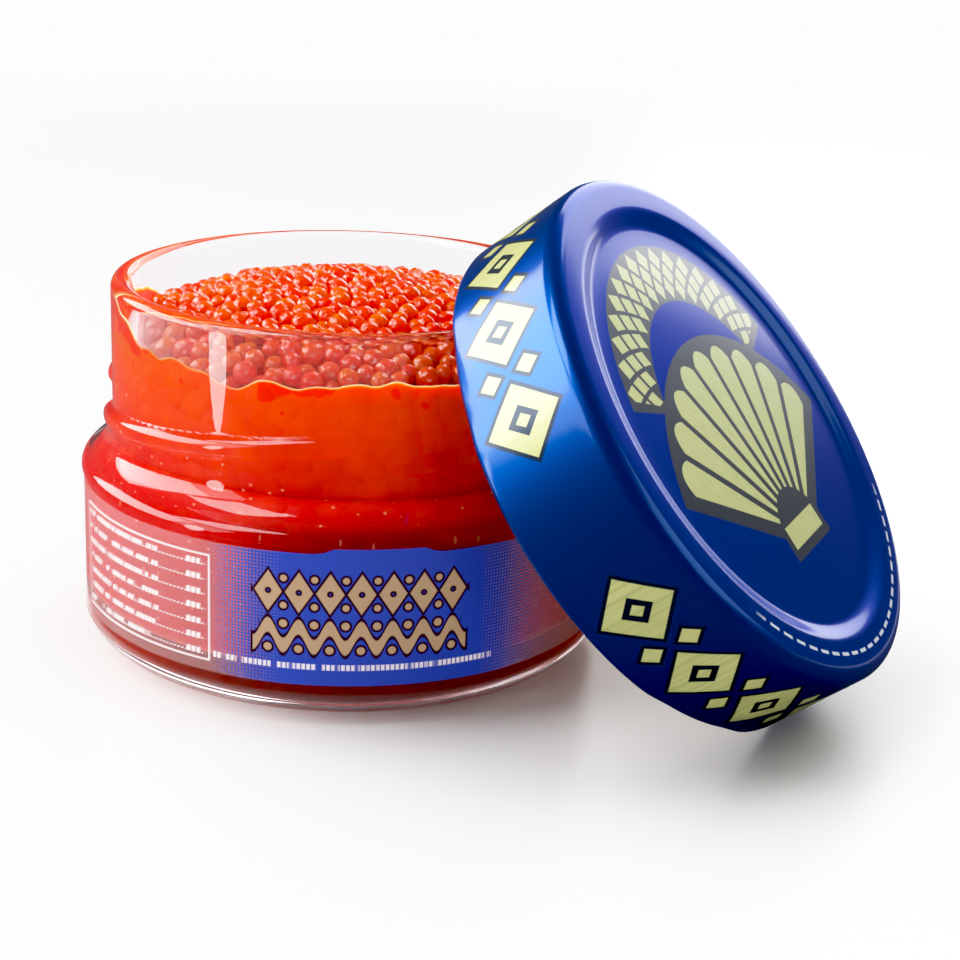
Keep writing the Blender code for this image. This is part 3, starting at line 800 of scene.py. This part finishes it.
# On the panel, a shell fan over its hinge.
FAN_PIVOT = 17.0
FAN_R = 27.0
FAN_ROOT_R = 7.0
FAN_RIBS = 9
FAN_HALF_DEG = 60.0
FAN_BORDER = 1.6
FAN_PLATE_DROP = 1.0
RIB_GAP_HALF = 0.5
RIB_ROUNDING = 0.05
HINGE_RISE = 1.6
HINGE_HALF = (5.5, 1.5)
HINGE_BORDER = 1.3
rise = FAN_PIVOT - down
from_pivot = wire.maths("SQRT", rise * rise + side * side)
fan_angle = wire.maths("ARCTAN2", side, rise) * (180 / math.pi)
rib_pitch = 2 * FAN_HALF_DEG / FAN_RIBS
in_rib = (fan_angle + FAN_HALF_DEG) % rib_pitch - rib_pitch / 2
rib_side = (abs(in_rib) - rib_pitch / 2) * (math.pi / 180) * from_pivot + RIB_GAP_HALF
rib_end = from_pivot - FAN_R + (in_rib * in_rib) * RIB_ROUNDING
fan_sides = (abs(fan_angle) - FAN_HALF_DEG) * (math.pi / 180) * from_pivot
fan = rib_side.most(rib_end).most(FAN_ROOT_R - from_pivot).most(fan_sides)
fan_plate = (from_pivot - FAN_R - FAN_BORDER).most(fan_sides - FAN_BORDER).most(-FAN_PLATE_DROP - rise)
hinge = bar(side, rise, 0.0, HINGE_RISE, *HINGE_HALF)
fan = fan.least(hinge)
fan_plate = fan_plate.least(hinge - HINGE_BORDER)

# Above the fan, a curved band of scales in three rows.
GARLAND_R = 21.0
GARLAND_HALF_MM = 26.0
GARLAND_END = 1.2
GARLAND_PLATE_HALF = 4.0
SCALE_PITCH = 3.2
SCALE_ROW_PITCH = 2.1
SCALE_HALF = (1.25, 1.6)
garland_along = wire.maths("ARCTAN2", side, -down) * GARLAND_R
scale_rows = []
for row, lift in enumerate((-SCALE_ROW_PITCH, 0.0, SCALE_ROW_PITCH)):
    scale_u = (garland_along + SCALE_PITCH * row / 2) % SCALE_PITCH - SCALE_PITCH / 2
    scale_rows.append(lozenge(scale_u, cap_r - GARLAND_R - lift, *SCALE_HALF))
scales = scale_rows[0].least(scale_rows[1]).least(scale_rows[2])
garland = scales.most(abs(garland_along) - GARLAND_HALF_MM + GARLAND_END)
garland_plate = (abs(cap_r - GARLAND_R) - GARLAND_PLATE_HALF).most(abs(garland_along) - GARLAND_HALF_MM)
top_gold = fan.least(garland)
top_black = fan_plate.least(garland_plate)

# On the land, a line of white stitches at the lower side.
STITCH_R = 31.8
STITCH_PITCH = 2.6
STITCH_HALF = (0.85, 0.22)
STITCHED_HALF_ANGLE = 0.95
STITCH_STRENGTH = 0.8
stitch_u = (cap_angle * STITCH_R) % STITCH_PITCH - STITCH_PITCH / 2
stitches = bar(stitch_u, cap_r, 0.0, STITCH_R, *STITCH_HALF).most(abs(cap_angle) - STITCHED_HALF_ANGLE)
white_cover = stitches.within(0.0, INK_EDGE) * on_top * STITCH_STRENGTH

# Round the skirt, three groups of lozenge leaves with beads between them.
SKIRT_MID = 7.7
SKIRT_UNIT = 12.0
SKIRT_BORDER = 0.5
GROUP_COUNT = 3
GROUP_UNITS = 5
GROUP_LENGTH = math.tau * LID_R / MM / GROUP_COUNT
GROUP_START = 56.8
LEAF_HALF = (4.7, 5.2)
LEAF_HOLE_HALF = (2.0, 2.3)
LEAF_EYE_HALF = (0.9, 1.1)
BEAD_HALF = (1.3, 1.6)
BEAD_LIFT = 2.7
skirt_along = cap_angle * (LID_R / MM)
in_group = (skirt_along + GROUP_START) % GROUP_LENGTH - GROUP_LENGTH / 2
unit_u = (in_group + SKIRT_UNIT / 2) % SKIRT_UNIT - SKIRT_UNIT / 2
unit_v = up - SKIRT_MID
leaf = lozenge(unit_u, unit_v, *LEAF_HALF).most(-lozenge(unit_u, unit_v, *LEAF_HOLE_HALF))
leaf = leaf.least(lozenge(unit_u, unit_v, *LEAF_EYE_HALF))
beads = lozenge(SKIRT_UNIT / 2 - abs(unit_u), abs(unit_v) - BEAD_LIFT, *BEAD_HALF)
beads = beads.most(abs(in_group) - (GROUP_UNITS - 1) / 2 * SKIRT_UNIT)
skirt_gold = leaf.least(beads).most(abs(in_group) - GROUP_UNITS / 2 * SKIRT_UNIT)
gold_part = wire.node("ShaderNodeMix", {}, {0: on_top, 2: skirt_gold, 3: top_gold})
black_part = wire.node("ShaderNodeMix", {}, {0: on_top, 2: skirt_gold - SKIRT_BORDER, 3: top_black})
gold_cover = gold_part.within(0.0, INK_EDGE)
black_cover = black_part.within(0.0, INK_EDGE)
brushed = {"Vector": wire.combine(down * 0.3 + side * 0.2, side * 9.0 - down * 4.5), "Scale": 1.0}
streaks = wire.node("ShaderNodeTexNoise", {"noise_dimensions": "2D"}, brushed)
gold_brushed = (streaks * 1.2 + 0.1).choose(DEEP_GOLD, GOLD)
printed = black_cover.choose(BLUE, BLACK)
printed = white_cover.choose(gold_cover.choose(printed, gold_brushed), colour(0.8, 0.82, 0.85))
bare_metal = 0.8 - black_cover * 0.7 + gold_cover * 0.2 - white_cover * 0.6
feed(paint_shader, Base_Color=printed, Metallic=bare_metal)

lining, lining_shader, wire = finish("inside_lacquer", Roughness=0.3, IOR=1.5, Metallic=0.3)
flow = wire.node("ShaderNodeTexNoise", {}, {"Vector": own_mm(wire, mouth), "Scale": 0.3, "Detail": 2.0})
feed(lining_shader, Base_Color=flow.choose(colour(0.66, 0.62, 0.5), colour(0.76, 0.73, 0.62)))
piece("cap_shell", lid_shape, lean, "lid_lacquer", paint, lining, replaced=["lid"])

# Sealing ring: soft, pale plastisol, flowed into the channel inside the cap's top and set there by heat,
# where the jar's rim presses into it when the cap is on.
SEAL_INNER_R = 27.9 * MM
SEAL_OUTER_R = 33.0 * MM
SEAL_DEPTH = 0.75 * MM
SEAL_GAP = 0.02 * MM
SEAL_ROWS = 16


def channel_height(radius):
    """The inner face of the cap's top above a radius, in the channel where the compound lies."""
    share = min(1.0, (radius - LID_PANEL_R) / (LID_LAND_R - LID_PANEL_R))
    return LID_HEIGHT - LID_SHEET - LID_PANEL_DROP * (1 - share) - SEAL_GAP


seal_radii = (SEAL_INNER_R, LID_LAND_R, SEAL_OUTER_R)
seal_outline = [(radius, channel_height(radius)) for radius in seal_radii]
seal_outline += arc((SEAL_INNER_R + SEAL_OUTER_R) / 2, channel_height(SEAL_INNER_R),
                    (SEAL_OUTER_R - SEAL_INNER_R) / 2, SEAL_DEPTH, 0, -180, SEAL_ROWS)
seal_shape = turned(seal_outline, LID_STEPS)
soft, soft_shader, wire = finish("sealing_compound", Roughness=0.5)
mottle = wire.node("ShaderNodeTexNoise", {}, {"Vector": own_mm(wire, mouth), "Scale": 1.5})
feed(soft_shader, Base_Color=mottle.choose(colour(0.6, 0.58, 0.52), colour(0.72, 0.7, 0.64)))
piece("cap_seal", seal_shape, lean, "lid_lacquer", soft)

# Table, camera and lights: a white glossy sweep, soft boxes to the left, above, behind and to the right,
# and the camera low in front, tipped down at the jar.
FLOOR_HALF = 0.6
FADE_MM, FADE_SOFT_MM = 480.0, 200.0
DIM_FRONT_MM, DIM_FRONT_SOFT_MM = 60.0, 60.0
DIM_LEFT_MM, DIM_LEFT_SOFT_MM = 15.0, 20.0
DIM_LEFT_SLANT = 0.1
ROUND_JAR_MM, ROUND_JAR_SOFT_MM = 42.0, 4.0
floor_shape = bmesh.new()
bmesh.ops.create_grid(floor_shape, x_segments=1, y_segments=1, size=FLOOR_HALF)
floor_mesh = bpy.data.meshes.new("table")
floor_shape.to_mesh(floor_mesh)
floor_shape.free()
floor = bpy.data.objects.new("table", floor_mesh)
bpy.context.scene.collection.objects.link(floor)
white, white_shader, wire = finish("white_table", Base_Color=colour(0.72, 0.72, 0.72), Roughness=0.35)
x, y, _ = own_mm(wire).split()
# The table's front and left are dim in the mirror image on glass and cap, as if dark screens stood there.
gloss_ray = wire.node("ShaderNodeLightPath", {}, {}, output="Is Glossy Ray")
mirror_ray = wire.node("ShaderNodeLightPath", {}, {}, output="Is Reflection Ray")
at_left = (x - y * DIM_LEFT_SLANT).within(DIM_LEFT_MM, DIM_LEFT_SOFT_MM)
screened = y.within(DIM_FRONT_MM, DIM_FRONT_SOFT_MM).most(at_left)
from_jar = ((x - jar_axis.x / MM) ** 2 + (y - jar_axis.y / MM) ** 2) ** 0.5
screened = screened * (1.0 - from_jar.within(ROUND_JAR_MM, ROUND_JAR_SOFT_MM))
from_middle = (x * x + y * y) ** 0.5
feed(white_shader, Alpha=from_middle.within(FADE_MM, FADE_SOFT_MM))
lit = Wire(white.node_tree, white_shader.outputs[0])
dim = wire.node("ShaderNodeBsdfDiffuse", {}, {"Color": colour(0.1, 0.1, 0.1)})
sheet = wire.node("ShaderNodeMixShader", {}, {0: gloss_ray * mirror_ray * screened, 1: lit, 2: dim})
white.node_tree.links.new(sheet.socket, white.node_tree.nodes["Material Output"].inputs["Surface"])
floor_mesh.materials.append(white)

CAMERA_BACK = 259.05 * MM
CAMERA_HEIGHT = 107.6 * MM
CAMERA_YAW = math.radians(-4.01)
CAMERA_PITCH = math.radians(-18.56)
CAMERA_ROLL = math.radians(2.41)
CAMERA_LENS = 75.386
CAMERA_SENSOR = 36.0
CAMERA_NEAR = 10.0 * MM
camera_data = bpy.data.cameras.new("camera")
camera_data.lens = CAMERA_LENS
camera_data.sensor_width = CAMERA_SENSOR
camera_data.clip_start = CAMERA_NEAR
camera = bpy.data.objects.new("camera", camera_data)
bpy.context.scene.collection.objects.link(camera)
stand = Matrix.Translation(jar_axis + Vector((0.0, -CAMERA_BACK, CAMERA_HEIGHT)))
aim = Matrix.Rotation(CAMERA_YAW, 4, "Z") @ Matrix.Rotation(math.pi / 2 + CAMERA_PITCH, 4, "X")
camera.matrix_world = stand @ aim @ Matrix.Rotation(CAMERA_ROLL, 4, "Z")
bpy.context.scene.camera = camera


def softbox(name, azimuth_deg, elevation_deg, distance, width, height, radiance, target=(0.0, 0.0, 0.03),
            shape="RECTANGLE", diffuse=True, glossy=True):
    """A flat lamp at an azimuth (0 in front, 90 to the right) and elevation, facing the object.

    Without diffuse it is only seen as a highlight, without glossy it only lights."""
    azimuth, elevation = math.radians(azimuth_deg), math.radians(elevation_deg)
    way = Vector((math.sin(azimuth) * math.cos(elevation), -math.cos(azimuth) * math.cos(elevation),
                  math.sin(elevation)))
    lamp = bpy.data.lights.new(name, "AREA")
    lamp.shape = shape
    lamp.size = width
    lamp.size_y = height
    lamp.energy = radiance * math.pi * width * height
    holder = bpy.data.objects.new(name, lamp)
    holder.location = Vector(target) + way * distance
    holder.rotation_euler = way.to_track_quat("Z", "Y").to_euler()
    holder.visible_diffuse = diffuse
    holder.visible_glossy = glossy
    bpy.context.scene.collection.objects.link(holder)


softbox("top_box", 180, 76, 1.05, 1.1, 1.0, 2.3, glossy=False)
softbox("key_glint", -74, 54, 0.85, 0.42, 0.45, 7.0, diffuse=False)
softbox("key_box", -102, 52, 0.85, 0.8, 0.5, 6.2, glossy=False)
softbox("left_box", -105, 22, 0.8, 0.86, 0.42, 4.5)
softbox("left_wide", -92, 22, 0.82, 1.25, 0.42, 3.0, diffuse=False)
softbox("left_strip", -54, -9, 0.105, 0.015, 0.04, 7.0, target=(-0.0188, 0.0106, 0.0474), shape="ELLIPSE")
softbox("back_box", 153, 24, 0.9, 0.6, 0.7, 3.5, diffuse=False)
softbox("right_card", 80, 22, 0.7, 0.6, 0.3, 1.2, diffuse=False)
softbox("right_fill", 108, 48, 0.9, 0.8, 0.6, 3.0, glossy=False)
softbox("front_fill", 15, 10, 0.9, 0.8, 0.3, 4.0, glossy=False)

SIDE_SOFT = 0.1
HORIZON_SOFT = 0.01
world = bpy.data.worlds.new("studio")
world.use_nodes = True
bpy.context.scene.world = world
sky = Wire(world.node_tree)
heading = sky.node("ShaderNodeTexCoord", {}, {}, output=0).split()
background = world.node_tree.nodes["Background"]
mirror_ray = sky.node("ShaderNodeLightPath", {}, {}, output="Is Reflection Ray")
at_left = (heading[0] - heading[1] * DIM_LEFT_SLANT).within(0.0, SIDE_SOFT)
screened = heading[1].within(0.0, SIDE_SOFT).most(at_left)
below = heading[2].within(0.0, HORIZON_SOFT) * (1.0 - mirror_ray * screened)
tone = below.choose(colour(0.12, 0.12, 0.12), colour(1.3, 1.3, 1.3))
world.node_tree.links.new(tone.socket, background.inputs["Color"])
background.inputs["Strength"].default_value = 1.0

TONE_CURVE = ((0.051, 0.085), (0.177, 0.3), (0.367, 0.6), (0.557, 0.82), (0.747, 0.94))
settings = bpy.context.scene.view_settings
settings.view_transform = "Standard"
settings.look = "None"
settings.use_curve_mapping = True
curves = settings.curve_mapping
curves.black_level = (0.02, 0.02, 0.02)
curves.white_level = (1.5, 1.5, 1.5)
for tone_in, tone_out in TONE_CURVE:
    curves.curves[3].points.new(tone_in, tone_out)
curves.update()
